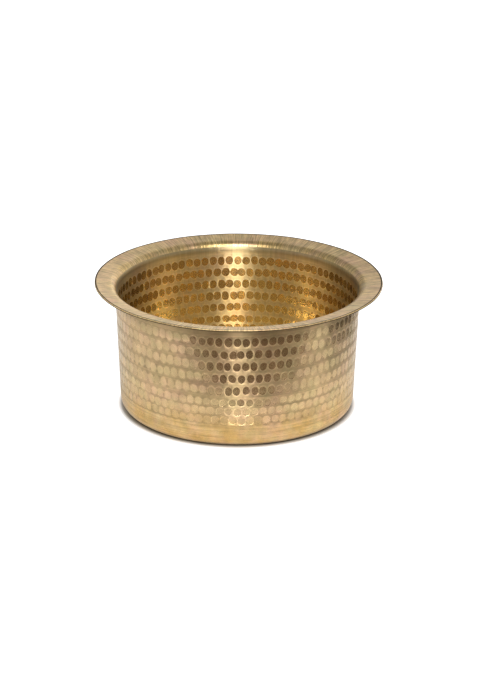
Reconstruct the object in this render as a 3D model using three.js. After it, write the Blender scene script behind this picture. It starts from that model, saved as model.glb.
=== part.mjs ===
// A hammered brass cooking pot: one disc of sheet raised into a straight-sided bowl with a wide lip.
// Its skin is followed once round the section: under the base, up the wall, over the lip and down inside.
import * as THREE from 'three';

// Driving sizes, in millimetres
const potHeight = 112;
const rimDiameter = 242;
const wallTopDiameter = 206.8;
const wallBaseDiameter = 196.6;
const sheet = 1.6;
const baseCorner = 10.5;
const lipHollow = 6;

// How far the lip rises on its way out, in degrees
const lipRise = 9;

// Hammer marks: their spacing along a row, their size, and the least metal left between two rows
const markPitch = 7.4;
const markHeight = 8;
const markDepth = 0.35;
const markGap = 1.2;

// The rows of marks stay clear of the turned foot and of the neck under the lip,
// and the ones by the foot are set closer together
const footBand = 24.5;
const neckBand = 18;
const rowPitch = 10.7;
const footRowPitch = 8;
const footRows = 2;

// How finely the plain round forms are divided
const plainSides = 44;
const cornerSteps = 4;
const lipSteps = 3;

// The wall leans out as it rises, and the lip leans up as it runs out
const wallLean = Math.atan((wallTopDiameter - wallBaseDiameter) / 2 / potHeight);
const lipLean = THREE.MathUtils.degToRad(lipRise);
const outerWall = (height) => wallBaseDiameter / 2 + height * Math.tan(wallLean);
const innerWall = (height) => outerWall(height) - sheet / Math.cos(wallLean);

// A row has as many marks as fit round the wall
const fullTurn = 2 * Math.PI;
const marksPerRow = Math.round((Math.PI * wallTopDiameter) / markPitch);
const markAngle = fullTurn / marksPerRow;

// The skin of the pot as it grows: the coordinates of its points, and its triangles
const coordinates = [];
const triangles = [];

// One point of the skin, by its distance from the axis, its height and its angle round the axis
function addPoint(radius, height, angle) {
  coordinates.push(radius * Math.cos(angle), radius * Math.sin(angle), height);
  return { index: coordinates.length / 3 - 1, angle };
}

function addTriangle(a, b, c) {
  triangles.push(a.index, b.index, c.index);
}

// A closed ring of points round the axis, each at the place in the section that sectionPoint gives
function addRing(count, firstAngle, sectionPoint) {
  const ring = [];
  for (let place = 0; place < count; place += 1) {
    const { x, y } = sectionPoint(place);
    ring.push(addPoint(x, y, firstAngle + (place * fullTurn) / count));
  }
  return ring;
}

// Skin between two rings: both are walked by angle, so their counts and first angles may differ
function skinBetween(ring, next) {
  const pointAt = (points, place) => points[place % points.length];
  const angleAt = (points, place) => pointAt(points, place).angle + (place < points.length ? 0 : fullTurn);
  let here = 0;
  let there = 0;
  while (here < ring.length || there < next.length) {
    const stepHere = angleAt(ring, here + 1) <= angleAt(next, there + 1);
    if (there === next.length || (here < ring.length && stepHere)) {
      addTriangle(pointAt(ring, here), pointAt(ring, here + 1), pointAt(next, there));
      here += 1;
    } else {
      addTriangle(pointAt(ring, here), pointAt(next, there + 1), pointAt(next, there));
      there += 1;
    }
  }
}

// A run of plain rings, one for each point of a stretch of the section, skinned in turn
function plainStretch(sectionPoints) {
  const rings = sectionPoints.map((point) => addRing(plainSides, 0, () => point));
  rings.slice(1).forEach((ring, place) => skinBetween(rings[place], ring));
  return { first: rings[0], last: rings[rings.length - 1] };
}

// A bend of the sheet: points on an arc about a centre, between two angles
function bend(centre, size, from, to, steps) {
  const points = [];
  for (let step = 0; step <= steps; step += 1) {
    const angle = from + ((to - from) * step) / steps;
    const turned = new THREE.Vector2(Math.cos(angle), Math.sin(angle));
    points.push(turned.multiplyScalar(size).add(centre));
  }
  return points;
}

// The bend between the flat base and the wall turns about a centre inside the pot
function baseBend(size) {
  const wallFoot = outerWall(baseCorner);
  const centre = new THREE.Vector2(wallFoot - baseCorner / Math.cos(wallLean), baseCorner);
  return bend(centre, size, -Math.PI / 2, -wallLean, cornerSteps);
}

// The bend between the wall and the lip turns about a centre outside the wall and under the lip,
// which lies one hollow from the wall's outer face and one hollow from the lip's under face
function lipBend(size) {
  const lipUnderEdge = potHeight - sheet * Math.cos(lipLean);
  const fromWall = (wallBaseDiameter / 2) * Math.cos(wallLean) + lipHollow;
  const fromLip = lipUnderEdge * Math.cos(lipLean) - (rimDiameter / 2) * Math.sin(lipLean) - lipHollow;
  const spread = Math.cos(wallLean + lipLean);
  const centre = new THREE.Vector2(
    (fromWall * Math.cos(lipLean) + fromLip * Math.sin(wallLean)) / spread,
    (fromLip * Math.cos(wallLean) + fromWall * Math.sin(lipLean)) / spread,
  );
  return bend(centre, size, Math.PI - wallLean, Math.PI / 2 + lipLean, lipSteps);
}

// The stretch over the lip: its under face, its square edge and its upper face
function lipSection() {
  return [
    ...lipBend(lipHollow),
    new THREE.Vector2(rimDiameter / 2, potHeight - sheet * Math.cos(lipLean)),
    new THREE.Vector2(rimDiameter / 2 - sheet * Math.sin(lipLean), potHeight),
    ...lipBend(lipHollow + sheet).reverse(),
  ];
}

// The heights of the rows of marks, from the foot up
function rowHeights() {
  const heights = [];
  for (let row = 0; row < footRows; row += 1) {
    heights.push(footBand + row * footRowPitch);
  }
  const start = footBand + footRows * footRowPitch;
  const rise = potHeight - neckBand - start;
  const steps = Math.max(1, Math.round(rise / rowPitch));
  for (let row = 0; row <= steps; row += 1) {
    heights.push(start + (rise * row) / steps);
  }
  return heights;
}

const rows = rowHeights();

// Neighbouring rows are half a mark out of step, a quarter to each side
const rowShift = (row) => (row % 2 === 0 ? 0.25 : -0.25) * markAngle;

// How far a row's marks reach up and down from its middle, which is less where the rows lie close
function markReach(row) {
  const below = row > 0 ? rows[row] - rows[row - 1] : Infinity;
  const above = row < rows.length - 1 ? rows[row + 1] - rows[row] : Infinity;
  return Math.min(markHeight, below - markGap, above - markGap) / 2;
}

// One row on the outside: six-sided dents that share their upright sides
function dentRow(row) {
  const reach = markReach(row);
  const outline = (side) => addRing(2 * marksPerRow, rowShift(row), (place) => {
    const height = rows[row] + side * (place % 2 === 0 ? reach / 2 : reach);
    return new THREE.Vector2(outerWall(height), height);
  });
  const lower = outline(-1);
  const upper = outline(1);
  for (let mark = 0; mark < marksPerRow; mark += 1) {
    const left = 2 * mark;
    const right = (left + 2) % lower.length;
    const middle = addPoint(outerWall(rows[row]) - markDepth, rows[row], lower[left + 1].angle);
    addTriangle(lower[left], lower[left + 1], middle);
    addTriangle(lower[left + 1], lower[right], middle);
    addTriangle(lower[right], upper[right], middle);
    addTriangle(upper[right], upper[left + 1], middle);
    addTriangle(upper[left + 1], upper[left], middle);
    addTriangle(upper[left], lower[left], middle);
  }
  return { lower, upper };
}

// The same row on the inside, where the metal that the hammer pushed through stands up in low bumps
function bumpRow(row, upper, lower) {
  for (let mark = 0; mark < marksPerRow; mark += 1) {
    const next = (mark + 1) % marksPerRow;
    const angle = upper[mark].angle + markAngle / 2 + rowShift(row);
    const middle = addPoint(innerWall(rows[row]) - markDepth, rows[row], angle);
    addTriangle(upper[mark], upper[next], middle);
    addTriangle(upper[next], lower[next], middle);
    addTriangle(lower[next], lower[mark], middle);
    addTriangle(lower[mark], upper[mark], middle);
  }
}

// The outside of the wall, from the foot to the neck, between two plain rings
function hammeredOutside(foot, neck) {
  let below = foot;
  rows.forEach((height, row) => {
    const { lower, upper } = dentRow(row);
    skinBetween(below, lower);
    below = upper;
  });
  skinBetween(below, neck);
}

// The inside of the wall, from the neck down to the foot: one ring between each two rows of bumps
function hammeredInside(neck, foot) {
  const edgeHeights = [rows[rows.length - 1] + markReach(rows.length - 1)];
  for (let row = rows.length - 1; row > 0; row -= 1) {
    edgeHeights.push((rows[row] + rows[row - 1]) / 2);
  }
  edgeHeights.push(rows[0] - markReach(0));
  const edges = edgeHeights.map((height) => addRing(
    marksPerRow,
    0,
    () => new THREE.Vector2(innerWall(height), height),
  ));
  skinBetween(neck, edges[0]);
  edges.slice(1).forEach((edge, place) => bumpRow(rows.length - 1 - place, edges[place], edge));
  skinBetween(edges[edges.length - 1], foot);
}

// A flat disc that closes the skin at the axis: the base seen from below, or the floor from above
function closeAtAxis(ring, height, facingUp) {
  const middle = addPoint(0, height, 0);
  ring.forEach((point, place) => {
    const next = ring[(place + 1) % ring.length];
    addTriangle(facingUp ? point : next, facingUp ? next : point, middle);
  });
}

// The whole skin of the sheet
function vesselSkin() {
  const corner = plainStretch(baseBend(baseCorner));
  const lip = plainStretch(lipSection());
  const innerCorner = plainStretch(baseBend(baseCorner - sheet).reverse());
  closeAtAxis(corner.first, 0, false);
  hammeredOutside(corner.last, lip.first);
  hammeredInside(lip.last, innerCorner.first);
  closeAtAxis(innerCorner.last, sheet, true);
  const skin = new THREE.BufferGeometry();
  skin.setAttribute('position', new THREE.Float32BufferAttribute(coordinates, 3));
  skin.setIndex(triangles);
  skin.computeVertexNormals();
  return skin;
}

function vessel() {
  const brass = new THREE.MeshStandardMaterial({ color: 0xc9a263, metalness: 1, roughness: 0.28 });
  const mesh = new THREE.Mesh(vesselSkin(), brass);
  mesh.name = 'hammered_vessel';
  return mesh;
}

const pot = new THREE.Group();
pot.add(vessel());

export default pot;
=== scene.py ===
import math

import bmesh
import bpy
from mathutils import Matrix, Vector


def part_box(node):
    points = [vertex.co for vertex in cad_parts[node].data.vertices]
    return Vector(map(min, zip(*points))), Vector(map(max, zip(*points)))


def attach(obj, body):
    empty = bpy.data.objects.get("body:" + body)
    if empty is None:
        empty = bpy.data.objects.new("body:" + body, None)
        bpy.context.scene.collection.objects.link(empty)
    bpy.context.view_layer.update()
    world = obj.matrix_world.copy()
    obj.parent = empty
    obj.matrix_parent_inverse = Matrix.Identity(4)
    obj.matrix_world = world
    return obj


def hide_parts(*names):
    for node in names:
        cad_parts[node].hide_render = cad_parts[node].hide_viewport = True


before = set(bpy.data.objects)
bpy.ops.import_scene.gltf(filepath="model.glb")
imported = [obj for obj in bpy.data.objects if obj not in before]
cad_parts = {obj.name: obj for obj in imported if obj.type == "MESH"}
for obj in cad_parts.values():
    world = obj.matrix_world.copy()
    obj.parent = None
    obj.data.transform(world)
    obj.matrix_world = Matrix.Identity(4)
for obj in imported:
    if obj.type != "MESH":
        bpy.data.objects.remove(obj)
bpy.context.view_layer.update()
MM = 0.001

# The turned sheet
# The pot is one disc of brass sheet. Its base, foot, neck and wide lip are turned smooth,
# and only the band of wall between foot and neck, left open here, is worked with the hammer.
lowest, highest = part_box("hammered_vessel")
POT_HEIGHT = highest.z - lowest.z
RIM_RADIUS = (highest.x - lowest.x) / 2
WALL_TOP_RADIUS = 103.4 * MM
WALL_BASE_RADIUS = 98.3 * MM
SHEET = 1.6 * MM
BASE_CORNER = 10.5 * MM
LIP_HOLLOW = 6 * MM
LIP_LEAN = math.radians(9)
WALL_LEAN = math.atan((WALL_TOP_RADIUS - WALL_BASE_RADIUS) / POT_HEIGHT)
EDGE_ROUNDING = 0.3 * MM
# Painted shade on the lip's top corner: how far in it reaches, and how much further it fades
EDGE_SHADE_WIDTH = 0.8 * MM
EDGE_SHADE_FADE = 1.6
FAR_FROM_MARKS = 2

# How many steps each stretch of the section is drawn in
BEND_STEPS = 9
CORNER_STEPS = 3
EDGE_STEPS = 6
SHADED_EDGE_STEPS = 6
DISC_STEPS = 6
FOOT_STEPS = 4
NECK_STEPS = 3
UNDER_LIP_STEPS = 4
LIP_STEPS = 6

# The hammer's rows, and how finely the skin is divided for each mark, outside and inside
MARKS_PER_ROW = 88
ROWS = 8
FOOT_ROWS = 2
FOOT_HEIGHT = 24.5 * MM
FOOT_ROW_PITCH = 8 * MM
ROW_PITCH = 10.7 * MM
OUTER_CELLS = 8
INNER_CELLS = 6
TURNED_COLUMNS = 2 * MARKS_PER_ROW


def row_height(row):
    close_rows, wide_rows = min(row, FOOT_ROWS), max(row - FOOT_ROWS, 0)
    return FOOT_HEIGHT + FOOT_ROW_PITCH * close_rows + ROW_PITCH * wide_rows


def outer_wall(height):
    return WALL_BASE_RADIUS + height * math.tan(WALL_LEAN)


def inner_wall(height):
    return outer_wall(height) - SHEET / math.cos(WALL_LEAN)


def arc(centre, size, start, end, steps):
    out, up = centre
    angles = [start + (end - start) * step / steps for step in range(steps + 1)]
    return [(out + size * math.cos(angle), up + size * math.sin(angle)) for angle in angles]


def base_bend(size):
    centre = (outer_wall(BASE_CORNER) - BASE_CORNER / math.cos(WALL_LEAN), BASE_CORNER)
    return arc(centre, size, -math.pi / 2, -WALL_LEAN, BEND_STEPS)


def lip_bend(size):
    under_edge = POT_HEIGHT - SHEET * math.cos(LIP_LEAN)
    from_wall = WALL_BASE_RADIUS * math.cos(WALL_LEAN) + LIP_HOLLOW
    from_lip = under_edge * math.cos(LIP_LEAN) - RIM_RADIUS * math.sin(LIP_LEAN) - LIP_HOLLOW
    spread = math.cos(WALL_LEAN + LIP_LEAN)
    centre = (
        (from_wall * math.cos(LIP_LEAN) + from_lip * math.sin(WALL_LEAN)) / spread,
        (from_lip * math.cos(WALL_LEAN) + from_wall * math.sin(LIP_LEAN)) / spread,
    )
    return arc(centre, size, math.pi - WALL_LEAN, math.pi / 2 + LIP_LEAN, BEND_STEPS)


def between(start, end, steps):
    """The points that divide a straight stretch, without its two ends."""
    return [
        tuple(a + (b - a) * step / steps for a, b in zip(start, end)) for step in range(1, steps)
    ]


def rounded_edge():
    """The cut edge of the lip, square to the sheet, with both its corners just broken."""
    under = (RIM_RADIUS, POT_HEIGHT - SHEET * math.cos(LIP_LEAN))
    upper = (RIM_RADIUS - SHEET * math.sin(LIP_LEAN), POT_HEIGHT)
    points = []
    for corner, first in ((under, LIP_LEAN - math.pi / 2), (upper, LIP_LEAN)):
        turn = first + math.pi / 4
        reach = EDGE_ROUNDING * math.sqrt(2)
        centre = (corner[0] - reach * math.cos(turn), corner[1] - reach * math.sin(turn))
        points.append(arc(centre, EDGE_ROUNDING, first, first + math.pi / 2, CORNER_STEPS))
    lower, upper = points
    return lower + between(lower[-1], upper[0], EDGE_STEPS) + upper


foot_edge = (row_height(-1) + row_height(0)) / 2
neck_edge = (row_height(ROWS - 1) + row_height(ROWS)) / 2

outer_corner = base_bend(BASE_CORNER)
outer_foot_end = (outer_wall(foot_edge), foot_edge)
base_and_foot = [(0, 0), *between((0, 0), outer_corner[0], DISC_STEPS), *outer_corner]
base_and_foot += [*between(outer_corner[-1], outer_foot_end, FOOT_STEPS), outer_foot_end]

under_bend, upper_bend = lip_bend(LIP_HOLLOW), lip_bend(LIP_HOLLOW + SHEET)[::-1]
outer_neck_end = (outer_wall(neck_edge), neck_edge)
inner_neck_end = (inner_wall(neck_edge), neck_edge)
cut_edge = rounded_edge()
rim_out, rim_up = cut_edge[-1]
edge_shade_ends, edge_shade_gone = [
    (rim_out - width, rim_up - width * math.tan(LIP_LEAN))
    for width in (EDGE_SHADE_WIDTH, EDGE_SHADE_FADE * EDGE_SHADE_WIDTH)
]
neck_and_lip = [outer_neck_end, *between(outer_neck_end, under_bend[0], NECK_STEPS), *under_bend]
neck_and_lip += [*between(under_bend[-1], cut_edge[0], UNDER_LIP_STEPS), *cut_edge]
neck_and_lip += [edge_shade_ends, edge_shade_gone]
neck_and_lip += [*between(edge_shade_gone, upper_bend[0], LIP_STEPS), *upper_bend]
neck_and_lip += [*between(upper_bend[-1], inner_neck_end, NECK_STEPS), inner_neck_end]

# Painted shade: dark lines along both corners of the cut. Painted light: the face between them is
# lighter
shaded_edge_points = [*cut_edge[:SHADED_EDGE_STEPS], cut_edge[-1], edge_shade_ends]
lit_edge_points = cut_edge[SHADED_EDGE_STEPS:-CORNER_STEPS]

inner_corner = base_bend(BASE_CORNER - SHEET)[::-1]
inner_foot_end = (inner_wall(foot_edge), foot_edge)
inside_and_floor = [inner_foot_end, *between(inner_foot_end, inner_corner[0], FOOT_STEPS)]
inside_and_floor += [*inner_corner, *between(inner_corner[-1], (0, SHEET), DISC_STEPS), (0, SHEET)]


def stitch(sheet, ring, following):
    """Faces between two rings. Where one is finer, each coarse step takes a fan of fine ones."""
    coarse, fine = sorted((ring, following), key=len)
    share = len(fine) // len(coarse)
    turned_over = fine is not ring
    for place in range(len(coarse)):
        step = [fine[(place * share + part) % len(fine)] for part in range(share + 1)]
        ends = [coarse[place], coarse[(place + 1) % len(coarse)]]
        if share == 1:
            loops = [[step[0], step[1], ends[1], ends[0]]]
        elif len(coarse) == 1:
            loops = [[first, second, coarse[0]] for first, second in zip(step, step[1:])]
        else:
            middle = share // 2
            loops = [[step[middle], ends[1], ends[0]]]
            for end, run in zip(ends, (step[:middle + 1], step[middle:])):
                loops += [[first, second, end] for first, second in zip(run, run[1:])]
        for loop in loops:
            sheet.faces.new(loop[::-1] if turned_over else loop)


def turn_on_lathe(sheet, section, first_columns=TURNED_COLUMNS, last_columns=TURNED_COLUMNS):
    """Spins one stretch of the section. Its end rings take the columns of the worked wall."""
    counts = [first_columns] + [TURNED_COLUMNS] * (len(section) - 2) + [last_columns]
    rings = []
    for (radius, height), count in zip(section, counts):
        angles = [2 * math.pi * place / count for place in range(count if radius > 0 else 1)]
        places = [(radius * math.cos(a), radius * math.sin(a), height) for a in angles]
        rings.append([sheet.verts.new(place) for place in places])
        for point in rings[-1]:
            point[edge_shade] = (radius, height) in shaded_edge_points
            point[lit_edge] = (radius, height) in lit_edge_points
            point[from_mark] = FAR_FROM_MARKS
    for ring, following in zip(rings, rings[1:]):
        stitch(sheet, ring, following)


outer_columns = OUTER_CELLS * MARKS_PER_ROW
inner_columns = INNER_CELLS * MARKS_PER_ROW
sheet = bmesh.new()
edge_shade = sheet.verts.layers.float.new("edge_shade")
lit_edge = sheet.verts.layers.float.new("lit_edge")
from_mark = sheet.verts.layers.float.new("from_mark")
turn_on_lathe(sheet, base_and_foot, last_columns=outer_columns)
turn_on_lathe(sheet, neck_and_lip, outer_columns, inner_columns)
turn_on_lathe(sheet, inside_and_floor, first_columns=inner_columns)
turned_mesh = bpy.data.meshes.new("turned sheet")
sheet.to_mesh(turned_mesh)
sheet.free()
turned_sheet = bpy.data.objects.new("turned_sheet", turned_mesh)
bpy.context.scene.collection.objects.link(turned_sheet)

# The brass
# The whole pot is one metal, so its five finishes share how it tarnishes and how its grain runs:
# wall, foot and floor carry fine rings from the lathe, and lip and neck short strokes across them.

# How far out, in mark radii, a mark's face ends, a ridge starts, and the ridges end
FACE_EDGE = (0.93, 1.03)
RIDGE_FOOT = (1.08, 1.3)
RIDGE_END = (1.6, 1.9)

# Where a look comes or goes: how far up the pot, and for the bend how far out from its axis
ABOVE_FOOT = (14 * MM, 34 * MM)
LOW_WALL_LIGHTENED = (30 * MM, 58 * MM)
UNDER_LIP = (92 * MM, 104 * MM)
LOW_INSIDE_LIGHTENED = (36 * MM, 62 * MM)
INSIDE_NECK = (98 * MM, 103 * MM)
STAKE_REACH = (97 * MM, 103 * MM)
BEND_REACH = (107 * MM, 111 * MM)

# Shades, where 1 is clean brass: low parts painted lighter, outside and inside, ridges, and the
# faces of marks after the softest blow, with what the hardest blow adds
LOW_WALL_PAINTED_LIGHT = 1.18
LOW_INSIDE_PAINTED_LIGHT = 1.16
OUTER_RIDGE = 0.96
INNER_RIDGE = 1.02
OUTER_FACE = 0.86
INNER_FACE = 0.82
HARDEST_BLOW = 0.18

# How much darker the oxide leaves the ridges, how much darker the neck is (outside, painted shade
# under the lip), how dark the painted shade on the cut's corners is, and how much the cut edge is
# painted lighter
OXIDE = 0.16
NECK_DARKENING = 0.42
EDGE_PAINTED_SHADE = 0.9
EDGE_PAINTED_LIGHT = 0.25

# Films on the brass: how strong they are, and how often they change
OUTER_FILMS = (0.7, 60)
INNER_FILMS = (0.5, 30)
FLOOR_FILMS = (0.3, 30)
LIP_FILMS = (0.8, 45)

# Roughness where the metal is smoothest, and how much the grain adds to it
RIDGE_ROUGHNESS = (0.25, 0.16)
FACE_ROUGHNESS = (0.1, 0.12)
FOOT_ROUGHNESS = (0.2, 0.16)
FLOOR_ROUGHNESS = (0.1, 0.12)
LIP_ROUGHNESS = (0.3, 0.2)
BEND_SHINE = 0.1
EDGE_DULLNESS = 0.2

# How far the fine turned rings draw reflections out
WALL_DRAWN_OUT = 0.94
FOOT_DRAWN_OUT = 0.3

# How deep the grain is cut, what wear takes of it, and how the strokes compare with it
RELIEF = 0.05 * MM
WORN_OFF_FACES = 0.8
STAKE_DEPTH = 2.5
LIP_STROKE_DEPTH = 0.7
BEND_STROKE_DEPTH = 3.8

# Streaks in the colour: how strong they are, then how often they change round the axis,
# outwards and upwards. The other grains have only the last three.
OUTER_RINGS = (1.1, 2, 300, 450)
HAND_BLOTCHES = (0.5, 15, 110, 110)
WIDE_BLOTCHES = (0.4, 8, 30, 30)
INNER_RINGS = (0.4, 2.5, 300, 450)
UPRIGHT_STREAKS = (0.6, 60, 20, 20)
LIP_STROKES = (1.8, 85, 45, 45)
FINE_LIP_STROKES = (1.0, 200, 60, 60)
LIP_BLOTCHES = (0.7, 12, 120, 120)
FINE_RINGS = (3, 900, 1500)
FACE_SCUFFS = (30, 300, 300)
RING_GROOVES = (2, 1200, 2200)
STAKE_STROKES = (95, 10, 10)
LIP_SCRATCHES = (300, 30, 30)
LIP_GROOVES = (420, 18, 18)
BEND_STROKES = (90, 8, 8)

# Clean brass where each finish shows it. The foot's deeper gold is painted reflection, the bend's
# darker olive is painted shade, and the floor's lighter brass is painted light
WALL_BRASS_COLOUR = (0.77, 0.55, 0.29, 1)
FOOT_PAINTED_REFLECTION_COLOUR = (0.61, 0.405, 0.155, 1)
INSIDE_BRASS_COLOUR = (0.84, 0.66, 0.35, 1)
FLOOR_PAINTED_LIGHT_COLOUR = (0.97, 0.82, 0.46, 1)
LIP_BRASS_COLOUR = (0.76, 0.55, 0.285, 1)
BEND_PAINTED_SHADE_COLOUR = (0.7, 0.49, 0.205, 1)


class Measure:
    """A number that a node tree works out. Arithmetic on it adds Math nodes to the tree."""

    def __init__(self, tree, socket):
        self.tree = tree
        self.socket = socket

    def worked(self, operation, *terms):
        node = self.tree.nodes.new("ShaderNodeMath")
        node.operation = operation
        for place, term in enumerate((self, *terms)):
            feed(self.tree, node.inputs[place], term)
        return Measure(self.tree, node.outputs[0])

    def __add__(self, other):
        return self.worked("ADD", other)

    def __radd__(self, other):
        return self.worked("ADD", other)

    def __sub__(self, other):
        return self.worked("SUBTRACT", other)

    def __rsub__(self, other):
        return self.worked("MULTIPLY", -1) + other

    def __mul__(self, other):
        return self.worked("MULTIPLY", other)

    def __truediv__(self, other):
        return self.worked("DIVIDE", other)

    def __rtruediv__(self, other):
        return self.worked("POWER", -1) * other

    def mixed(self, other, share):
        return self + (other - self) * share


def feed(tree, socket, source):
    """Links a source to a socket, or sets the socket to a plain value."""
    if isinstance(source, Measure):
        source = source.socket
    if isinstance(source, bpy.types.NodeSocket):
        tree.links.new(source, socket)
    else:
        socket.default_value = source


def put(tree, kind, feeds=(), **settings):
    """Adds a node of one kind, with its settings, and feeds its sockets."""
    node = tree.nodes.new(kind)
    for name, setting in settings.items():
        setattr(node, name, setting)
    for name, source in dict(feeds).items():
        feed(tree, node.inputs[name], source)
    return node


def new_tree(name, kind, inputs, outputs):
    """A node tree with named sockets. Each input is (name, socket type, value)."""
    tree = bpy.data.node_groups.new(name, kind)
    for title, socket_type, value in inputs:
        socket = tree.interface.new_socket(title, in_out="INPUT", socket_type=socket_type)
        if value is not None:
            socket.default_value = value
    for title, socket_type in outputs:
        tree.interface.new_socket(title, in_out="OUTPUT", socket_type=socket_type)
    return tree, tree.nodes.new("NodeGroupInput"), tree.nodes.new("NodeGroupOutput")


def split(tree, vector):
    parts = put(tree, "ShaderNodeSeparateXYZ", {0: vector})
    return [Measure(tree, parts.outputs[place]) for place in range(3)]


def joined(tree, *parts):
    return put(tree, "ShaderNodeCombineXYZ", dict(enumerate(parts))).outputs[0]


def place_on_piece(tree):
    """The x, y and z of a point on the piece."""
    return split(tree, put(tree, "ShaderNodeTexCoord").outputs["Object"])


def ramp(tree, value, start, end, low=0.0, high=1.0, smooth=False):
    """Goes from the low to the high number while the value goes from start to end."""
    reach = {"Value": value, "From Min": start, "From Max": end, "To Min": low, "To Max": high}
    course = "SMOOTHSTEP" if smooth else "LINEAR"
    node = put(tree, "ShaderNodeMapRange", reach, interpolation_type=course)
    return Measure(tree, node.outputs[0])


def blend(tree, share, first, second):
    """A colour between two others."""
    mix = put(tree, "ShaderNodeMix", {0: share}, data_type="RGBA")
    feed(tree, mix.inputs[6], first)
    feed(tree, mix.inputs[7], second)
    return mix.outputs[2]


def grey(tree, share):
    return put(tree, "ShaderNodeCombineColor", {0: share, 1: share, 2: share}).outputs[0]


GRAIN_WAYS = ("Round", "Out", "Up")
OFF_AXIS = 1e-5
PATCH_STARTS = 0.45
PATCH_FULL = 0.7


def round_grain():
    """Grain on a round piece: fine or coarse separately round the axis, outwards and upwards."""
    sizes = [(name, "NodeSocketFloat", 1) for name in GRAIN_WAYS]
    made_sockets = [("Grain", "NodeSocketFloat")]
    tree, given, made = new_tree("round grain", "ShaderNodeTree", sizes, made_sockets)
    x, y, z = place_on_piece(tree)
    radius = (x * x + y * y).worked("SQRT") + OFF_AXIS
    round_scale, out_scale, up_scale = [Measure(tree, given.outputs[name]) for name in GRAIN_WAYS]
    lengthwise = radius * out_scale + z * up_scale
    across = joined(tree, x / radius * round_scale, y / radius * round_scale, lengthwise)
    noise = {"Vector": across, "Scale": 1, "Detail": 3, "Roughness": 0.6}
    feed(tree, made.inputs["Grain"], put(tree, "ShaderNodeTexNoise", noise).outputs[0])
    return tree


def brass_tone():
    """The colour of handled brass: clean metal with warmer and greener films in soft patches."""
    sizes = [
        ("Clean", "NodeSocketColor", (0.8, 0.58, 0.32, 1)),
        ("Warm", "NodeSocketColor", (0.76, 0.5, 0.31, 1)),
        ("Green", "NodeSocketColor", (0.66, 0.52, 0.26, 1)),
        ("Patch Scale", "NodeSocketFloat", 60),
        ("Strength", "NodeSocketFloat", 0.5),
    ]
    made_sockets = [("Colour", "NodeSocketColor")]
    tree, given, made = new_tree("brass tone", "ShaderNodeTree", sizes, made_sockets)
    place = put(tree, "ShaderNodeTexCoord").outputs["Object"]
    strength = Measure(tree, given.outputs["Strength"])
    colour = given.outputs["Clean"]
    for film, offset in (("Warm", 0.0), ("Green", 7.3)):
        moved = put(tree, "ShaderNodeVectorMath", {0: place, 1: (offset,) * 3}, operation="ADD")
        noise = {"Vector": moved.outputs[0], "Scale": given.outputs["Patch Scale"]}
        noise |= {"Detail": 3, "Roughness": 0.55}
        patch = put(tree, "ShaderNodeTexNoise", noise).outputs[0]
        share = ramp(tree, patch, PATCH_STARTS, PATCH_FULL) * strength
        colour = blend(tree, share, colour, given.outputs[film])
    feed(tree, made.inputs["Colour"], colour)
    return tree


ROUND_GRAIN = round_grain()
BRASS_TONE = brass_tone()


def grain(tree, around, out, up):
    node = put(tree, "ShaderNodeGroup", node_tree=ROUND_GRAIN)
    for name, size in zip(GRAIN_WAYS, (around, out, up)):
        feed(tree, node.inputs[name], size)
    return Measure(tree, node.outputs["Grain"])


def streaks(tree, contrast, around, out, up):
    """A shade round 1, lighter and darker in streaks of the grain."""
    return 1 + (grain(tree, around, out, up) - 0.5) * contrast


def tone(tree, clean, strength, patch_scale):
    node = put(tree, "ShaderNodeGroup", node_tree=BRASS_TONE)
    for name, value in (("Clean", clean), ("Strength", strength), ("Patch Scale", patch_scale)):
        feed(tree, node.inputs[name], value)
    return node.outputs["Colour"]


def darkened(tree, colour, share):
    """The colour times a share that changes over the surface."""
    mix = put(tree, "ShaderNodeMix", {0: 1.0}, data_type="RGBA", blend_type="MULTIPLY")
    feed(tree, mix.inputs[6], colour)
    feed(tree, mix.inputs[7], grey(tree, share))
    return mix.outputs[2]


def brass_material(name, colour_of, roughness_of, height_of, drawn_out=0.0):
    """A metal finish. Fine turned rings draw its reflections out up and down the wall."""
    material = bpy.data.materials.new(name)
    material.use_nodes = True
    tree = material.node_tree
    shader = tree.nodes["Principled BSDF"]
    shader.inputs["Metallic"].default_value = 1
    shader.inputs["Anisotropic"].default_value = drawn_out
    shader.inputs["Anisotropic Rotation"].default_value = 0.25
    feed(tree, shader.inputs["Base Color"], colour_of(tree))
    feed(tree, shader.inputs["Roughness"], roughness_of(tree))
    height = {"Height": height_of(tree), "Strength": 1, "Distance": RELIEF}
    feed(tree, shader.inputs["Normal"], put(tree, "ShaderNodeBump", height).outputs[0])
    return material


def attribute(tree, name):
    return Measure(tree, put(tree, "ShaderNodeAttribute", attribute_name=name).outputs["Fac"])


def within(tree, inner, outer):
    """1 up to so many radii from the middle of a mark, fading to 0 at the outer distance."""
    return ramp(tree, attribute(tree, "from_mark"), inner, outer, 1, 0, smooth=True)


def polished(tree):
    """1 on the face of a hammer mark, where the blow has polished the brass, 0 everywhere else."""
    return within(tree, *FACE_EDGE)


def between_marks(tree):
    """1 on the ridges between marks, where oxide stays, and 0 on the marks and turned parts."""
    return (1 - within(tree, *RIDGE_FOOT)) * within(tree, *RIDGE_END)


def struck(tree, dullest):
    """The shade of a mark's face, by how hard its blow was."""
    return dullest + attribute(tree, "strike") * HARDEST_BLOW


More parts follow.
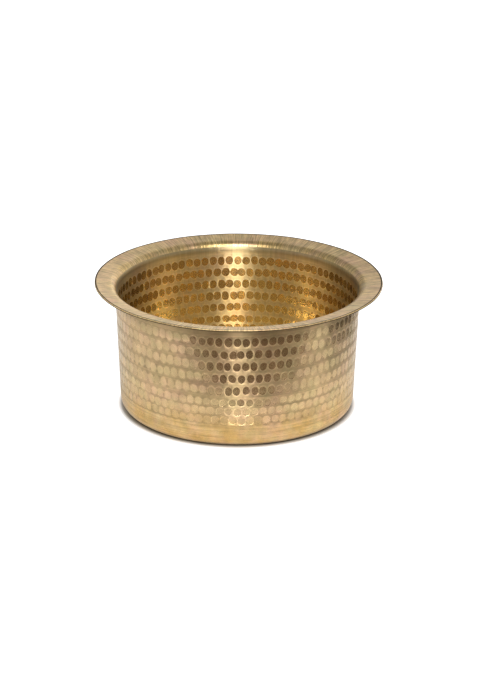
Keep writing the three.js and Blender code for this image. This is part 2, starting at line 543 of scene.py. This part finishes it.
def outside_colour(tree):
    """Outside, oxide stays on the ridges. The neck is darkened, a painted shade under the lip, the
    low wall is painted lighter, and the foot's deeper gold is a painted reflection.
    """
    _, _, z = place_on_piece(tree)
    rings = streaks(tree, *OUTER_RINGS) * OUTER_RIDGE
    blotches = streaks(tree, *HAND_BLOTCHES) * streaks(tree, *WIDE_BLOTCHES)
    # Painted shade: the neck under the lip is darkened
    neck_shade = 1 - ramp(tree, z, *UNDER_LIP) * NECK_DARKENING
    shade = rings.mixed(struck(tree, OUTER_FACE), polished(tree)) * blotches
    shade = shade * (1 - between_marks(tree) * OXIDE) * neck_shade
    # Painted light: the wall is lighter low down, fading out upwards
    shade = shade * ramp(tree, z, *LOW_WALL_LIGHTENED, LOW_WALL_PAINTED_LIGHT, 1)
    above_foot = ramp(tree, z, *ABOVE_FOOT)
    # Painted reflection: the foot's deeper, golden brass, fading out above it
    clean = blend(tree, above_foot, FOOT_PAINTED_REFLECTION_COLOUR, WALL_BRASS_COLOUR)
    return darkened(tree, tone(tree, clean, *OUTER_FILMS), shade)


def inside_colour(tree):
    """Inside, washing and scouring keep the brass cleaner; low down it is painted lighter, and up
    the neck darker.
    """
    _, _, z = place_on_piece(tree)
    rings = streaks(tree, *INNER_RINGS) * streaks(tree, *UPRIGHT_STREAKS) * INNER_RIDGE
    # Darker up the neck, below the bend
    neck_shade = 1 - ramp(tree, z, *INSIDE_NECK) * NECK_DARKENING
    shade = rings.mixed(struck(tree, INNER_FACE), polished(tree)) * neck_shade
    shade = shade * (1 - between_marks(tree) * OXIDE)
    # Painted light: the inside is lighter low down, fading out upwards
    shade = shade * ramp(tree, z, *LOW_INSIDE_LIGHTENED, LOW_INSIDE_PAINTED_LIGHT, 1)
    return darkened(tree, tone(tree, INSIDE_BRASS_COLOUR, *INNER_FILMS), shade)


def floor_colour(tree):
    # Painted light: the pot's floor, inner corner and the inside below the rows are a lighter brass
    clean = tone(tree, FLOOR_PAINTED_LIGHT_COLOUR, *FLOOR_FILMS)
    return darkened(tree, clean, streaks(tree, *INNER_RINGS))


def rough(tree, smoothest, added, grain_size):
    return smoothest + grain(tree, *grain_size) * added


def wall_roughness(tree):
    ridges = rough(tree, *RIDGE_ROUGHNESS, FINE_RINGS)
    faces = rough(tree, *FACE_ROUGHNESS, FACE_SCUFFS)
    return ridges.mixed(faces, polished(tree))


def foot_roughness(tree):
    return rough(tree, *FOOT_ROUGHNESS, FINE_RINGS)


def floor_roughness(tree):
    return rough(tree, *FLOOR_ROUGHNESS, FINE_RINGS)


def wall_relief(tree):
    return grain(tree, *RING_GROOVES) * (1 - polished(tree) * WORN_OFF_FACES)


def inside_relief(tree):
    """The wall's rings, and below the bend the strokes of the stake that the lip was turned on."""
    _, _, z = place_on_piece(tree)
    neck = ramp(tree, z, *STAKE_REACH)
    return wall_relief(tree) + grain(tree, *STAKE_STROKES) * neck * STAKE_DEPTH


def in_bend(tree):
    """1 in the bend between wall and lip and below it, 0 out on the lip."""
    x, y, _ = place_on_piece(tree)
    return ramp(tree, (x * x + y * y).worked("SQRT"), *BEND_REACH, 1, 0)


def lip_colour(tree):
    """Brushed across, with painted shade in dark lines at the cut's corners and in the bend, and
    painted light on the cut edge.
    """
    stroked = streaks(tree, *LIP_STROKES) * streaks(tree, *FINE_LIP_STROKES)
    stroked = stroked * streaks(tree, *LIP_BLOTCHES)
    # Painted shade: dark lines along the cut's corners
    shade = stroked * (1 - attribute(tree, "edge_shade") * EDGE_PAINTED_SHADE)
    # Painted light: the cut edge between the corners is lighter
    shade = shade * (1 + attribute(tree, "lit_edge") * EDGE_PAINTED_LIGHT)
    # Painted shade: the bend between wall and lip is a darker, olive brass
    clean = blend(tree, in_bend(tree), LIP_BRASS_COLOUR, BEND_PAINTED_SHADE_COLOUR)
    return darkened(tree, tone(tree, clean, *LIP_FILMS), shade)


def lip_roughness(tree):
    edge = attribute(tree, "edge_shade") * EDGE_DULLNESS + attribute(tree, "lit_edge") * EDGE_DULLNESS
    smoothest, added = LIP_ROUGHNESS
    return rough(tree, smoothest - in_bend(tree) * BEND_SHINE, added, LIP_SCRATCHES) + edge


def lip_relief(tree):
    """Fine strokes outwards over the lip, and coarser ones in the bend, left by the stake."""
    strokes_depth = LIP_STROKE_DEPTH + in_bend(tree) * BEND_STROKE_DEPTH
    return grain(tree, *LIP_GROOVES) + grain(tree, *BEND_STROKES) * strokes_depth


BRASS_OUTSIDE = brass_material(
    "brass_outside", outside_colour, wall_roughness, wall_relief, WALL_DRAWN_OUT
)
BRASS_FOOT = brass_material(
    "brass_foot", outside_colour, foot_roughness, wall_relief, FOOT_DRAWN_OUT
)
BRASS_INSIDE = brass_material(
    "brass_inside", inside_colour, wall_roughness, inside_relief, WALL_DRAWN_OUT
)
BRASS_FLOOR = brass_material("brass_floor", floor_colour, floor_roughness, wall_relief)
BRASS_LIP = brass_material("brass_lip", lip_colour, lip_roughness, lip_relief)

# The hammered wall
# Rows of oval marks left by a round-faced hammer, each one flat, with the metal standing between
# them in rounded ridges. The blows go through the sheet, so the same marks show inside.
MARK_WIDTH = 6.4 * MM
INSIDE_MARK_WIDTH = 7.2 * MM
MARK_HEIGHT = 8 * MM
INSIDE_MARK_HEIGHT = 8 * MM
MARK_GAP = 1.2 * MM
MARK_DEPTH = 0.2 * MM
MARK_LEAN = 0.08 * MM
SADDLE = 0.4
MARK_SHIFT = 0.55 * MM
WANDER = 0.8 * MM
SEED = 5
RIM_WAVE = 0.4 * MM
RIM_SHIFT = 0.9 * MM
LIP_FOOT = 106 * MM
WELD_DISTANCE = 0.02 * MM
NEVER_ZERO = 0.001

# How much of a mark's patch is its flat oval, and how its rings crowd towards the oval's edge
OVAL_SHARE = 0.92
RING_CROWDING = 0.3

# How marks differ: the least share of a size, and what chance adds to it
HEIGHT_SHARE = (0.92, 0.12)
WIDTH_SHARE = (0.95, 0.08)
DEPTH_SHARE = (0.85, 0.3)
SADDLE_SHARE = (0.5, 1)

# Marks shift less up and down than along the row, and one mark in five runs into the next,
# which leaves hardly a ridge between them
SHIFT_UP_SHARE = 0.6
OVERLAP_ABOVE = 0.8
OVERLAP_SUNK = 0.92

# A point of a patch is on its upright side when it is at least this far across
UPRIGHT_SIDE = 0.999

# How often the rows' wander changes, and how often the lip's two waves change and their strength
WANDER_SCALE = 90
LIP_WAVES = ((18, 2), (55, 0.5))

# Each throw of the dice for a mark: its blow, the ridge to its neighbour, and its place
BLOW, RIDGE, SHIFT = 0.0, 3.7, 8.1

WHOLE_NUMBERS = [
    ("Marks Per Row", MARKS_PER_ROW),
    ("Rows", ROWS),
    ("Foot Rows", FOOT_ROWS),
    ("Seed", SEED),
]
SIZES = [
    ("Foot Height", FOOT_HEIGHT),
    ("Foot Row Pitch", FOOT_ROW_PITCH),
    ("Row Pitch", ROW_PITCH),
    ("Mark Width", MARK_WIDTH),
    ("Mark Height", MARK_HEIGHT),
    ("Mark Gap", MARK_GAP),
    ("Mark Depth", MARK_DEPTH),
    ("Mark Lean", MARK_LEAN),
    ("Mark Shift", MARK_SHIFT),
    ("Saddle", SADDLE),
    ("Wander", WANDER),
    ("Wall Base Radius", WALL_BASE_RADIUS),
    ("Wall Slope", math.tan(WALL_LEAN)),
]
SHARED_INPUTS = [(name, "NodeSocketInt", value) for name, value in WHOLE_NUMBERS]
SHARED_INPUTS += [(name, "NodeSocketFloat", value) for name, value in SIZES]

FINISHES = {
    "Outside Brass": BRASS_OUTSIDE,
    "Foot Brass": BRASS_FOOT,
    "Inside Brass": BRASS_INSIDE,
    "Floor Brass": BRASS_FLOOR,
    "Lip Brass": BRASS_LIP,
}


def worked_skin_tree():
    """One side of the hammered wall: a grid wrapped round it, drawn in to an oval at each mark."""
    inputs = [
        ("Cells", "NodeSocketInt", OUTER_CELLS),
        ("Slope Rings", "NodeSocketInt", 2),
        ("Depth In Wall", "NodeSocketFloat", 0),
        *SHARED_INPUTS,
    ]
    made_sockets = [("Skin", "NodeSocketGeometry")]
    tree, given, made = new_tree("worked skin", "GeometryNodeTree", inputs, made_sockets)

    def size(name):
        return Measure(tree, given.outputs[name])

    def varied(share, chance):
        least, added = share
        return least + chance * added

    def chances(*number):
        """Three chance numbers from 0 to 1 that belong to one mark, or to one ridge."""
        throw = {"Vector": joined(tree, *number), "W": size("Seed")}
        dice = put(tree, "ShaderNodeTexWhiteNoise", throw, noise_dimensions="4D")
        return split(tree, dice.outputs["Color"])

    cells = size("Cells")
    columns = size("Marks Per Row") * cells
    lines = size("Rows") * cells
    spread = {"Size X": columns, "Size Y": lines}
    counts = {"Vertices X": columns + 1, "Vertices Y": lines + 1}
    grid = put(tree, "GeometryNodeMeshGrid", spread | counts)
    x, y, _ = split(tree, put(tree, "GeometryNodeInputPosition").outputs[0])
    column = (x + columns / 2 + 0.5).worked("FLOOR")
    line = (y + lines / 2 + 0.5).worked("FLOOR")

    # The mark that a point belongs to, and its place in that mark's patch, from -1 to 1 each way
    row = (line.worked("MINIMUM", lines - 1) / cells).worked("FLOOR")
    up = (line - row * cells) * 2 / cells - 1
    shift = row.worked("FLOORED_MODULO", 2) * cells / 2
    mark = ((column - shift) / cells).worked("FLOOR")
    across = (column - shift - mark * cells) * 2 / cells - 1
    ring = across.worked("ABSOLUTE").worked("MAXIMUM", up.worked("ABSOLUTE"))
    ring = ring.worked("MAXIMUM", NEVER_ZERO)
    flat_rings = 1 - size("Slope Rings") * 2 / cells
    on_slope = ((ring - flat_rings) / (1 - flat_rings)).worked("MAXIMUM", 0)

    def height_of(number):
        low = number.worked("MINIMUM", size("Foot Rows")) * size("Foot Row Pitch")
        high = (number - size("Foot Rows")).worked("MAXIMUM", 0) * size("Row Pitch")
        return size("Foot Height") + low + high

    middle, below, above = height_of(row), height_of(row - 1), height_of(row + 1)
    room = (middle - below).worked("MINIMUM", above - middle) - size("Mark Gap")
    this_mark = mark.worked("FLOORED_MODULO", size("Marks Per Row"))
    lean_across, lean_up, strike = chances(this_mark, row, BLOW)
    reach = size("Mark Height").worked("MINIMUM", room) / 2 * varied(HEIGHT_SHARE, lean_up)
    half_width = size("Mark Width") / 2 * varied(WIDTH_SHARE, strike)
    pitch = 2 * math.pi * WALL_TOP_RADIUS / size("Marks Per Row")

    # Flat part of a mark: the patch's inner rings become ovals. Slope: from there out to the ridge
    spoke = (across * across + up * up).worked("SQRT").worked("MAXIMUM", NEVER_ZERO)
    distance = (ring / flat_rings).worked("MINIMUM", 1).worked("POWER", RING_CROWDING)
    distance = distance * OVAL_SHARE
    aside = across / spoke * distance * half_width
    shift_across, shift_up, _ = chances(this_mark, row, SHIFT)
    moved_across = (shift_across - 0.5) * size("Mark Shift") * 2
    moved_up = (shift_up - 0.5) * size("Mark Shift") * (2 * SHIFT_UP_SHARE)
    oval_column = (mark + 0.5) * cells + shift + (aside + moved_across) / pitch * cells
    oval_height = middle + up / spoke * distance * reach + moved_up
    ridge_across, ridge_up = across / ring, up / ring
    ridge_column = (mark + 0.5 + ridge_across * 0.5) * cells + shift
    ridge_height = ((below + middle) / 2).mixed((middle + above) / 2, (ridge_up + 1) / 2)
    placed_column = oval_column.mixed(ridge_column, on_slope)
    placed_height = oval_height.mixed(ridge_height, on_slope)

    # Depth: flat in the mark, full height on the ridges, less where two neighbours in a row meet
    side = ridge_across.worked("ABSOLUTE").worked("GREATER_THAN", UPRIGHT_SIDE)
    neighbour = mark + ridge_across.worked("GREATER_THAN", 0)
    neighbour = neighbour.worked("FLOORED_MODULO", size("Marks Per Row"))
    meeting, overlap, _ = chances(neighbour, row, RIDGE)
    overlapping = overlap.worked("GREATER_THAN", OVERLAP_ABOVE)
    sunk = (size("Saddle") * varied(SADDLE_SHARE, meeting)).mixed(OVERLAP_SUNK, overlapping)
    ridge_depth = size("Mark Depth") * sunk * side * (1 - ridge_up * ridge_up)
    flatness = aside * aside / (2 * WALL_TOP_RADIUS)
    lean = ((lean_across - 0.5) * across + (lean_up - 0.5) * up) * size("Mark Lean") * 2
    mark_depth = size("Mark Depth") * varied(DEPTH_SHARE, strike) - flatness + lean
    eased = on_slope * on_slope * (3 - on_slope * 2)
    depth = mark_depth.mixed(ridge_depth, eased)

    # The rows wander a little, but not where they meet the turned foot and neck
    angle = placed_column * (2 * math.pi) / columns
    east = angle.worked("COSINE") * WALL_TOP_RADIUS
    north = angle.worked("SINE") * WALL_TOP_RADIUS
    field = {"Vector": joined(tree, east, north, placed_height)}
    field |= {"Scale": WANDER_SCALE, "Detail": 1}
    drift = put(tree, "ShaderNodeTexNoise", field).outputs["Color"]
    drift_across, drift_up, _ = split(tree, drift)
    free = line.worked("GREATER_THAN", 0.5) * (lines - line).worked("GREATER_THAN", 0.5)
    angle = angle + (drift_across - 0.5) * size("Wander") * 2 * free / WALL_TOP_RADIUS
    height = placed_height + (drift_up - 0.5) * size("Wander") * 2 * free
    radius = size("Wall Base Radius") + height * size("Wall Slope")
    radius = radius - depth * free - size("Depth In Wall")
    place = joined(tree, radius * angle.worked("COSINE"), radius * angle.worked("SINE"), height)

    # What the finishes need: how far a point is from its mark's middle, and how hard the blow was
    from_middle = (placed_column - shift) * pitch / cells - (mark + 0.5) * pitch - moved_across
    from_middle = from_middle / half_width
    above_middle = (placed_height - middle - moved_up) / reach
    from_mark = (from_middle * from_middle + above_middle * above_middle).worked("SQRT")
    skin = grid.outputs["Mesh"]
    for name, value in (("from_mark", from_mark), ("strike", strike)):
        kept = {"Geometry": skin, "Name": name, "Value": value}
        skin = put(tree, "GeometryNodeStoreNamedAttribute", kept).outputs[0]
    worked = put(tree, "GeometryNodeSetPosition", {"Geometry": skin, "Position": place})
    feed(tree, made.inputs["Skin"], worked.outputs[0])
    return tree


def pot_tree():
    """The worked wall, outside and inside, welded to the turned sheet and given its finishes."""
    inputs = [
        ("Turned Sheet", "NodeSocketGeometry", None),
        ("Wall Thickness", "NodeSocketFloat", SHEET / math.cos(WALL_LEAN)),
        ("Rim Wave", "NodeSocketFloat", RIM_WAVE),
        ("Rim Shift", "NodeSocketFloat", RIM_SHIFT),
        ("Inside Mark Width", "NodeSocketFloat", INSIDE_MARK_WIDTH),
        ("Inside Mark Height", "NodeSocketFloat", INSIDE_MARK_HEIGHT),
        *((name, "NodeSocketMaterial", None) for name in FINISHES),
        *SHARED_INPUTS,
    ]
    made_sockets = [("Pot", "NodeSocketGeometry")]
    tree, given, made = new_tree("hammered pot", "GeometryNodeTree", inputs, made_sockets)
    skin_tree = worked_skin_tree()
    outer_side = {"Cells": OUTER_CELLS, "Slope Rings": 2, "Depth In Wall": 0.0}
    inner_side = {"Cells": INNER_CELLS, "Slope Rings": 1}
    inner_side["Depth In Wall"] = given.outputs["Wall Thickness"]
    inner_side |= {name: given.outputs[f"Inside {name}"] for name in ("Mark Width", "Mark Height")}
    sides = []
    for own_feeds in (outer_side, inner_side):
        feeds = {name: given.outputs[name] for name, _, _ in SHARED_INPUTS} | own_feeds
        skin = tree.nodes.new("GeometryNodeGroup")
        skin.node_tree = skin_tree
        for name, source in feeds.items():
            feed(tree, skin.inputs[name], source)
        sides.append(skin.outputs[0])
    turned_inwards = put(tree, "GeometryNodeFlipFaces", {"Mesh": sides[1]})
    whole = put(tree, "GeometryNodeJoinGeometry")
    for part in (sides[0], turned_inwards.outputs[0], given.outputs["Turned Sheet"]):
        tree.links.new(part, whole.inputs[0])
    close = {"Geometry": whole.outputs[0], "Distance": WELD_DISTANCE}
    welded = put(tree, "GeometryNodeMergeByDistance", close)

    # The lip was flared by hand, so it waves up and down and is a little wider on one side
    x, y, z = split(tree, put(tree, "GeometryNodeInputPosition").outputs[0])
    radius = (x * x + y * y).worked("SQRT")
    outward = (radius - WALL_TOP_RADIUS) / (RIM_RADIUS - WALL_TOP_RADIUS)
    outward = outward.worked("MAXIMUM", 0).worked("MINIMUM", 1)
    waves = []
    for scale, strength in LIP_WAVES:
        wave = {"Vector": joined(tree, x, y, 0.0), "Scale": scale, "Detail": 1}
        noise = put(tree, "ShaderNodeTexNoise", wave).outputs[0]
        waves.append((Measure(tree, noise) - 0.5) * strength)
    lift = (waves[0] + waves[1]) * Measure(tree, given.outputs["Rim Wave"]) * outward
    shift = Measure(tree, given.outputs["Rim Shift"]) * outward
    bent = {"Geometry": welded.outputs[0], "Offset": joined(tree, shift, 0.0, lift)}
    waved = put(tree, "GeometryNodeSetPosition", bent)
    smooth = put(tree, "GeometryNodeSetShadeSmooth", {"Geometry": waved.outputs[0]})
    real = put(tree, "GeometryNodeRealizeInstances", {"Geometry": smooth.outputs[0]})

    # Faces that look towards the axis, or up from the floor of the pot, are its inside
    facing_x, facing_y, facing_z = split(tree, put(tree, "GeometryNodeInputNormal").outputs[0])
    inwards = facing_z * 2 * MM - facing_x * x - facing_y * y
    everywhere = z.worked("GREATER_THAN", -1)
    inside = inwards.worked("GREATER_THAN", 0)
    shares = (
        ("Outside Brass", everywhere),
        ("Foot Brass", z.worked("LESS_THAN", foot_edge)),
        ("Inside Brass", inside),
        ("Floor Brass", inside * z.worked("LESS_THAN", foot_edge)),
        ("Lip Brass", z.worked("GREATER_THAN", LIP_FOOT)),
    )
    finished = real
    for name, selection in shares:
        feeds = {"Geometry": finished.outputs[0], "Selection": selection}
        feeds["Material"] = given.outputs[name]
        finished = put(tree, "GeometryNodeSetMaterial", feeds)
    feed(tree, made.inputs["Pot"], finished.outputs[0])
    return tree


hammering = turned_sheet.modifiers.new("hammering", "NODES")
hammering.node_group = pot_tree()
for item in hammering.node_group.interface.items_tree:
    if item.name in FINISHES:
        hammering[item.identifier] = FINISHES[item.name]
evaluated = turned_sheet.evaluated_get(bpy.context.evaluated_depsgraph_get())
pot_mesh = bpy.data.meshes.new_from_object(evaluated)
turned_sheet.modifiers.remove(hammering)
bpy.data.objects.remove(turned_sheet)
brass_pot = bpy.data.objects.new("brass_pot", pot_mesh)
bpy.context.scene.collection.objects.link(brass_pot)
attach(brass_pot, "root")
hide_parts("hammered_vessel")

# The floor and what the metal mirrors
# The floor is plain white, with a painted shadow right under the pot. On it lie two dark cloths,
# before the pot and at its right, which only the metal's reflections see: they are what the dark
# marks on the polished wall mirror.
FLOOR_SIZE = 12.0
FLOOR_GLOW = 0.9
MIRRORED_GLOW = 0.21
FLOOR_WHITE = 0.8
PAINTED_SHADOW_WHITE = 0.12
SHADOW_BEHIND_AXIS = 2 * MM
CLOTH_LIFT = 0.5 * MM

# Painted shadow: the floor under the pot is dark out to the first distance, and its glow is whole
# from the last
PAINTED_SHADOW_REACH = (92 * MM, 99 * MM)
GLOW_REACH = (WALL_BASE_RADIUS - 1 * MM, 103 * MM)

# Corners of the cloths in millimetres, to the right of the pot's axis and behind it
FRONT_CLOTH = [(-900, -480), (-5, -177), (225, -155), (900, -90), (900, -650), (-900, -650)]
SIDE_CLOTH = [(263, -60), (235, 83), (187, 330), (900, 330), (900, -60)]
FRONT_CLOTH_COLOUR = (0.15, 0.11, 0.085, 1)
SIDE_CLOTH_COLOUR = (0.06, 0.045, 0.03, 1)


def plain_mesh(name, corners, faces, material):
    mesh = bpy.data.meshes.new(name)
    mesh.from_pydata(corners, [], faces)
    mesh.materials.append(material)
    piece = bpy.data.objects.new(name, mesh)
    bpy.context.scene.collection.objects.link(piece)
    return piece


def glowing(name, colour):
    material = bpy.data.materials.new(name)
    material.use_nodes = True
    tree = material.node_tree
    tree.nodes.clear()
    glow = put(tree, "ShaderNodeEmission", {"Color": colour})
    out = put(tree, "ShaderNodeOutputMaterial")
    feed(tree, out.inputs["Surface"], glow.outputs[0])
    return material


def floor_material():
    """Matt white, with a painted shadow right under the pot, and a glow on the open floor that
    fades close to the foot of the pot.
    """
    material = bpy.data.materials.new("white floor")
    material.use_nodes = True
    tree = material.node_tree
    tree.nodes.clear()
    x, y, _ = place_on_piece(tree)
    behind = y - SHADOW_BEHIND_AXIS
    from_axis = (x * x + behind * behind).worked("SQRT")
    open_floor = ramp(tree, from_axis, *GLOW_REACH, smooth=True)
    path = put(tree, "ShaderNodeLightPath").outputs
    camera, glossy, transmission = [
        Measure(tree, path[f"Is {kind} Ray"]) for kind in ("Camera", "Glossy", "Transmission")
    ]
    seen = camera * open_floor * FLOOR_GLOW + (glossy + transmission) * MIRRORED_GLOW
    # Painted shadow: the floor's white darkens right under the pot
    white = ramp(tree, from_axis, *PAINTED_SHADOW_REACH, PAINTED_SHADOW_WHITE, FLOOR_WHITE, smooth=True)
    matt = put(tree, "ShaderNodeBsdfDiffuse", {"Color": grey(tree, white)})
    glow = put(tree, "ShaderNodeEmission", {"Strength": seen})
    both = put(tree, "ShaderNodeAddShader", {0: matt.outputs[0], 1: glow.outputs[0]})
    out = put(tree, "ShaderNodeOutputMaterial")
    feed(tree, out.inputs["Surface"], both.outputs[0])
    return material


def only_in_reflections(piece):
    piece.visible_camera = False
    piece.visible_diffuse = False
    piece.visible_shadow = False
    piece.visible_transmission = False


half = FLOOR_SIZE / 2
square = [(-half, -half, 0), (half, -half, 0), (half, half, 0), (-half, half, 0)]
plain_mesh("floor", square, [(0, 1, 2, 3)], floor_material())

cloths = (
    ("front_cloth", FRONT_CLOTH, FRONT_CLOTH_COLOUR),
    ("side_cloth", SIDE_CLOTH, SIDE_CLOTH_COLOUR),
)
for name, outline, colour in cloths:
    corners = [(px * MM, py * MM, CLOTH_LIFT) for px, py in outline]
    dark = glowing(name.replace("_", " "), colour)
    only_in_reflections(plain_mesh(name, corners, [tuple(range(len(corners)))], dark))

# The light
# A tall soft lamp hangs above the camera, and a low panel in front shows only in the metal.
# The room is dim, and behind the pot a pale backdrop brightens to the horizon and to the right.
POT_MIDDLE = (0, 0, 0.05)

# How bright the room is all round, and what the camera's side and the two sides add to it
DIM_ROOM = 0.29
CAMERA_SIDE = 0.4
SIDES = 0.35

# The backdrop: what it adds, how that grows to the right, how far out it goes on growing,
# and where its sides start to fall off, how fast and by how much
BACKDROP = 0.8
BACKDROP_TILT = 3.4
BACKDROP_HALF = 0.25
BACKDROP_EDGE = 0.18
BACKDROP_FALL = 4
BACKDROP_LOSS = 0.4

world = bpy.data.worlds.new("studio")
bpy.context.scene.world = world
world.use_nodes = True
world_tree = world.node_tree
background = world_tree.nodes["Background"]
background.inputs["Color"].default_value = (1, 1, 1, 1)
direction = put(world_tree, "ShaderNodeTexCoord").outputs["Generated"]
to_right, to_back, to_top = split(world_tree, direction)
low = 1 - to_top.worked("MAXIMUM", 0)
tilt = to_right.worked("MAXIMUM", -BACKDROP_HALF).worked("MINIMUM", BACKDROP_HALF)
aside = (to_right.worked("ABSOLUTE") - BACKDROP_EDGE) * BACKDROP_FALL
sides_kept = 1 - aside.worked("MAXIMUM", 0).worked("MINIMUM", 1) * BACKDROP_LOSS
backdrop = to_back.worked("MAXIMUM", 0) * (BACKDROP + tilt * BACKDROP_TILT) * sides_kept
behind_camera = (to_back * -1).worked("MAXIMUM", 0) * CAMERA_SIDE
beside_pot = to_right.worked("ABSOLUTE") * SIDES
around = (backdrop + behind_camera + beside_pot).worked("MAXIMUM", 0)
feed(world_tree, background.inputs["Strength"], DIM_ROOM + around * low)


def lamp(name, place, size, watts):
    """A soft rectangular lamp that faces the pot."""
    data = bpy.data.lights.new(name, "AREA")
    data.shape = "RECTANGLE"
    data.size, data.size_y = size
    data.energy = watts
    fixture = bpy.data.objects.new(name, data)
    fixture.location = place
    towards_pot = Vector(POT_MIDDLE) - Vector(place)
    fixture.rotation_euler = towards_pot.to_track_quat("-Z", "Y").to_euler()
    fixture.visible_camera = False
    bpy.context.scene.collection.objects.link(fixture)
    return fixture


lamp("front_softbox", (0.17, -1.81, 2.45), (0.75, 2.0), 43)
low_panel = lamp("low_panel", (0.05, -2.95, 0.66), (0.8, 0.6), 17)
low_panel.visible_diffuse = False

# The camera
# It looks down at the pot through a long lens, from a few steps away, and is held a little askew.
CAMERA_ELEVATION = math.radians(20.82)
CAMERA_DISTANCE = 2.538
LENS = 158.6
SENSOR_WIDTH = 36
ROLL = math.radians(0.35)
AIM_RIGHT = 1.0 * MM
AIM_UP = 1.21 * MM
middle = Vector((0, 0, 56 * MM))
back = Vector((0, -math.cos(CAMERA_ELEVATION), math.sin(CAMERA_ELEVATION)))
right = Vector((1, 0, 0))
upward = back.cross(right)
aim = middle + right * AIM_RIGHT + upward * AIM_UP
camera_data = bpy.data.cameras.new("camera")
camera_data.lens = LENS
camera_data.sensor_width = SENSOR_WIDTH
camera = bpy.data.objects.new("camera", camera_data)
turned = Matrix((right, upward, back)).transposed() @ Matrix.Rotation(ROLL, 3, "Z")
camera.matrix_world = Matrix.Translation(aim + back * CAMERA_DISTANCE) @ turned.to_4x4()
bpy.context.scene.collection.objects.link(camera)
bpy.context.scene.camera = camera
bpy.context.scene.view_settings.view_transform = "Standard"
